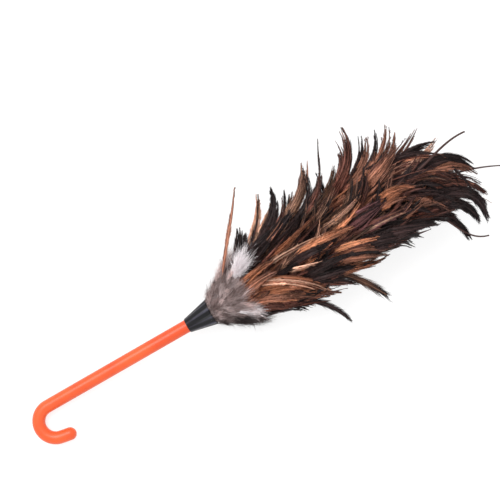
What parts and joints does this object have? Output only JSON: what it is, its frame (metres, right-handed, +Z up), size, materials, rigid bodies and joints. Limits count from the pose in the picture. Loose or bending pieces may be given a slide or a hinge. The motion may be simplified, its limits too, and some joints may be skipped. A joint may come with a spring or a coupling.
{
  "type": "feather duster",
  "caption": "Feather duster with a hooked plastic tube handle, a pleated ferrule and overlapping rings of cock hackles bound to a rod, for dusting.",
  "frame": {"origin": "bottom centre of the bounding box: the duster lies on a level surface at z = 0, on its hook and on the flattened underside of its feathers", "axes": "+X along the duster from the hook to the feather tips, +Y towards the side where the feathers are ruffled, away from the hook's opening, +Z up from the surface it lies on"},
  "size_m": [0.4672, 0.1516, 0.0806],
  "materials": {
    "orange_plastic": "smooth, soft gloss",
    "black_plastic": "satin, softly pleated",
    "bamboo": "raw, straight grain",
    "thread": "wound cotton thread",
    "grey_down": "fluffy down, grey-brown with white tufts",
    "chestnut_hackle": "glossy hackle feathers, chestnut to orange-brown",
    "dark_hackle": "glossy hackle feathers, black to mahogany",
    "tan_hackle": "glossy hackle feather, tan"
  },
  "bodies": {
    "root": {"handle_tube": "orange_plastic", "core_rod": "bamboo", "ferrule_cone": "black_plastic", "down_collar": "grey_down", "down_binding": "thread", "hackle_tier_1": "chestnut_hackle", "hackle_tier_2": "dark_hackle", "hackle_tier_3": "chestnut_hackle", "hackle_tier_4": "dark_hackle", "hackle_tier_5": "chestnut_hackle", "hackle_tier_6": "dark_hackle", "hackle_tier_7": "chestnut_hackle", "hackle_tier_8": "dark_hackle", "hackle_binding_1": "thread", "hackle_binding_2": "thread", "hackle_binding_3": "thread", "hackle_binding_4": "thread", "hackle_binding_5": "thread", "hackle_binding_6": "thread", "hackle_binding_7": "thread", "hackle_binding_8": "thread", "tip_tuft": "dark_hackle", "tip_binding": "thread", "tan_feather": "tan_hackle", "spike_feather": "dark_hackle", "ruffled_shaft": "dark_hackle", "middle_shaft": "dark_hackle", "smooth_shaft": "dark_hackle", "curled_feather_1": "dark_hackle", "curled_feather_2": "dark_hackle"}
  },
  "joints": []
}
